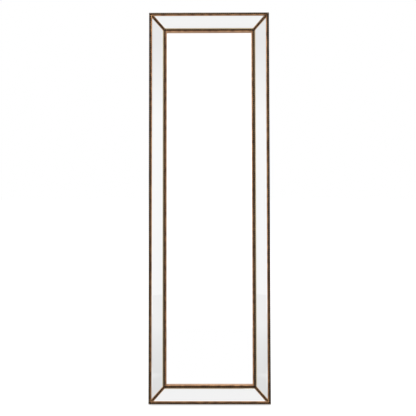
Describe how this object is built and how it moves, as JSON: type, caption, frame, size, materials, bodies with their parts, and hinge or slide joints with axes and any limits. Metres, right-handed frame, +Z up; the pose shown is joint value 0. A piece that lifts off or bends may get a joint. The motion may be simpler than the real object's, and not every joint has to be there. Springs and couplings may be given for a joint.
{
  "type": "cheval floor mirror",
  "caption": "Full-length floor mirror with a dished beaded frame clad in mirror strips, standing on a folding easel leg.",
  "frame": {"origin": "on the floor, under the middle of the whole mirror's box with its leg open", "axes": "+Z up, the mirror faces -Y and leans back towards +Y, +X to the right of someone who looks into it"},
  "size_m": [0.51, 0.4384, 1.6422],
  "materials": {
    "bronze_painted_wood": "satin bronze paint on wood",
    "copper_leaf_moulding": "aged copper leaf on composition moulding, dark in the recesses",
    "silvered_glass": "silvered glass",
    "birch_plywood": "bare plywood",
    "black_rubber": "matt rubber",
    "grey_felt": "needled felt",
    "brown_hardboard": "bare hardboard",
    "dark_stained_wood": "dark stain, satin lacquer",
    "zinc_screw_steel": "zinc plated",
    "zinc_plated_steel": "zinc plated sheet",
    "bright_turned_steel": "bright turned",
    "brass_bush": "turned brass"
  },
  "bodies": {
    "panel": {"frame_top_rail": "bronze_painted_wood", "frame_bottom_rail": "bronze_painted_wood", "frame_left_stile": "bronze_painted_wood", "frame_right_stile": "bronze_painted_wood", "outer_trim_top": "copper_leaf_moulding", "outer_trim_bottom": "copper_leaf_moulding", "outer_trim_left": "copper_leaf_moulding", "outer_trim_right": "copper_leaf_moulding", "inner_trim_top": "copper_leaf_moulding", "inner_trim_bottom": "copper_leaf_moulding", "inner_trim_left": "copper_leaf_moulding", "inner_trim_right": "copper_leaf_moulding", "mitre_trim_top_left": "copper_leaf_moulding", "mitre_trim_top_right": "copper_leaf_moulding", "mitre_trim_bottom_left": "copper_leaf_moulding", "mitre_trim_bottom_right": "copper_leaf_moulding", "mirror_strip_top": "silvered_glass", "mirror_strip_bottom": "silvered_glass", "mirror_strip_left": "silvered_glass", "mirror_strip_right": "silvered_glass", "main_mirror": "silvered_glass", "corner_splines": "birch_plywood", "setting_blocks": "black_rubber", "leg_bumpers": "black_rubber", "foot_pads": "black_rubber", "backing_felt": "grey_felt", "back_panel": "brown_hardboard", "hinge_batten": "dark_stained_wood", "stay_batten": "dark_stained_wood", "bumper_batten": "dark_stained_wood", "back_panel_screws": "zinc_screw_steel", "batten_screws": "zinc_screw_steel", "hinge_bracket_screws": "zinc_screw_steel", "stay_bracket_screws": "zinc_screw_steel", "hinge_bracket_left": "zinc_plated_steel", "hinge_bracket_right": "zinc_plated_steel", "stay_bracket_left": "zinc_plated_steel", "stay_bracket_right": "zinc_plated_steel", "hinge_rod": "bright_turned_steel", "hinge_dome_nuts": "bright_turned_steel", "stay_pivot_pins": "bright_turned_steel"},
    "easel_leg": {"leg_upright_left": "dark_stained_wood", "leg_upright_right": "dark_stained_wood", "leg_rung_top": "dark_stained_wood", "leg_rung_middle": "dark_stained_wood", "leg_rung_bottom": "dark_stained_wood", "rung_screws": "zinc_screw_steel", "track_screws": "zinc_screw_steel", "slot_track_left": "zinc_plated_steel", "slot_track_right": "zinc_plated_steel", "hinge_bushes": "brass_bush", "leg_feet": "black_rubber"},
    "stay_left": {"stay_arm_left": "zinc_plated_steel", "slider_pin_left": "bright_turned_steel"},
    "stay_right": {"stay_arm_right": "zinc_plated_steel", "slider_pin_right": "bright_turned_steel"}
  },
  "joints": [
    {"name": "leg_fold", "type": "hinge", "parent": "panel", "child": "easel_leg", "pos_m": [0, 0.02744, 1.11514], "axis": [-1, 0, 0], "range_deg": [0, 17]},
    {"name": "stay_left_swing", "type": "hinge", "parent": "panel", "child": "stay_left", "pos_m": [0, -0.01849, 0.78835], "axis": [-1, 0, 0], "range_deg": [0, 34]},
    {"name": "stay_right_swing", "type": "hinge", "parent": "panel", "child": "stay_right", "pos_m": [0, -0.01849, 0.78835], "axis": [-1, 0, 0], "range_deg": [0, 34]}
  ],
  "couplings": [
    {"joint": "stay_left_swing", "follows": "leg_fold", "ratio": 2},
    {"joint": "stay_right_swing", "follows": "leg_fold", "ratio": 2}
  ]
}
